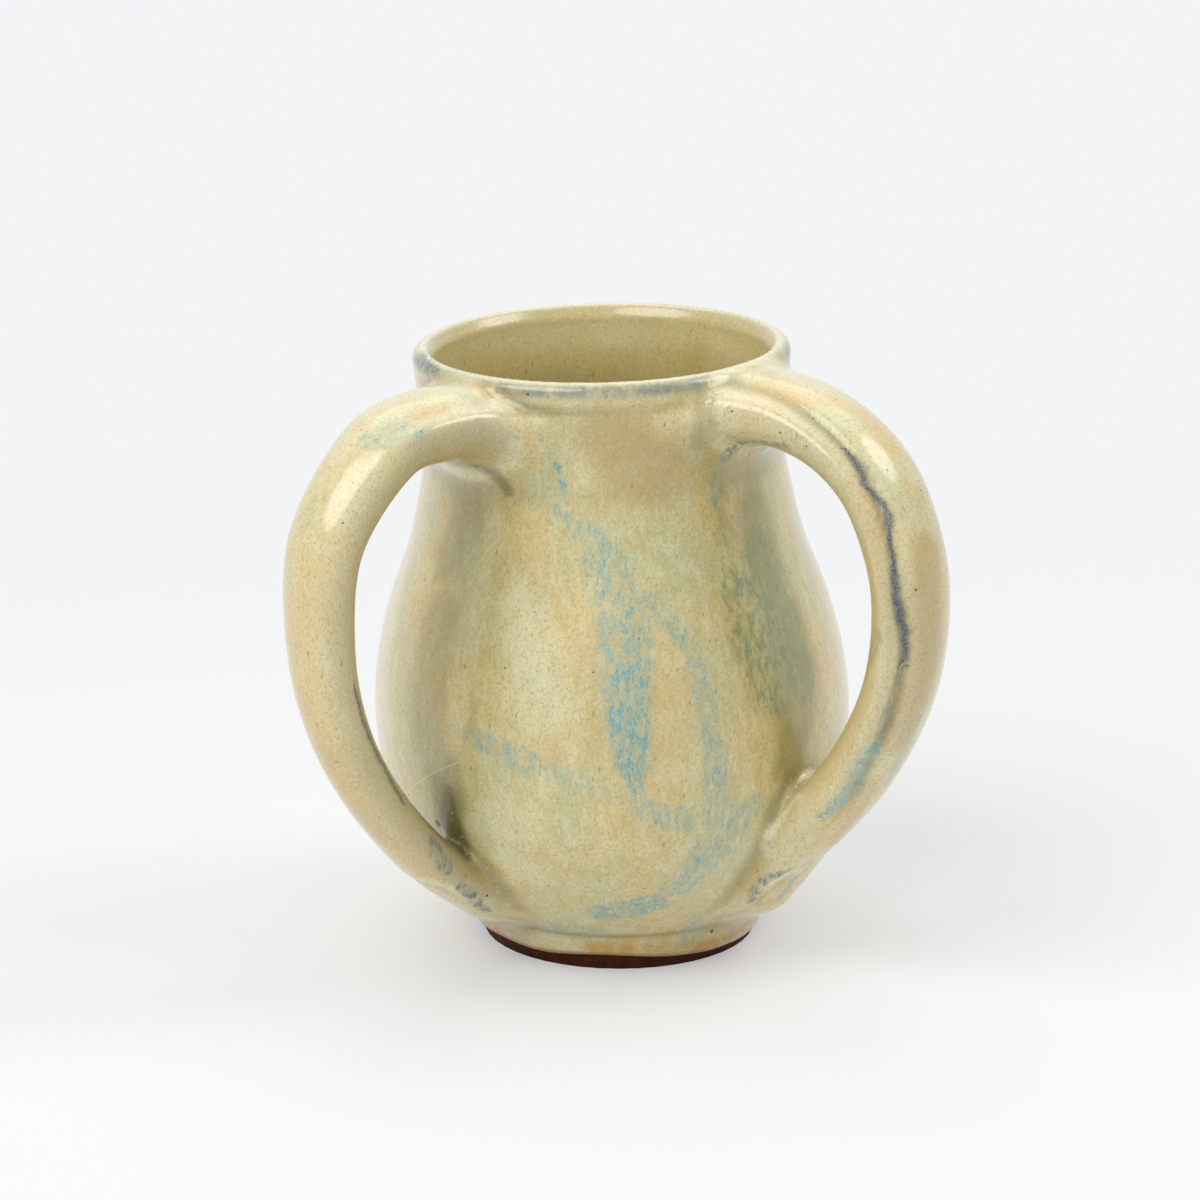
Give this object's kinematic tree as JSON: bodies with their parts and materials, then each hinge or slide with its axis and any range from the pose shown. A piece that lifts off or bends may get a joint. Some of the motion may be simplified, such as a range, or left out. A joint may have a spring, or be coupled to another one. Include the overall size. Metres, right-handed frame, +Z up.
{
  "type": "hand washing cup",
  "caption": "Round-bellied glazed stoneware cup with loop handles set forward of its sides, held in turn to pour water over each hand.",
  "frame": {"origin": "centre of the bounding box on the plane that the foot rests on", "axes": "+Z up through the mouth, +X to the right-hand handle's side, -Y towards the side where both handles are set forward"},
  "size_m": [0.1458, 0.1254, 0.1409],
  "materials": {
    "stoneware": "bare dark brown fired clay, matt and slightly gritty",
    "cream_glaze": "glossy mottled cream to khaki glaze with turquoise and cobalt breaks",
    "lining_glaze": "glossy olive cream glaze with fine brown specks"
  },
  "bodies": {
    "root": {"cup_body": "stoneware", "foot_ring": "stoneware", "left_handle": "stoneware", "right_handle": "stoneware", "outer_glaze": "cream_glaze", "left_handle_glaze": "cream_glaze", "right_handle_glaze": "cream_glaze", "lining_glaze": "lining_glaze"}
  },
  "joints": []
}
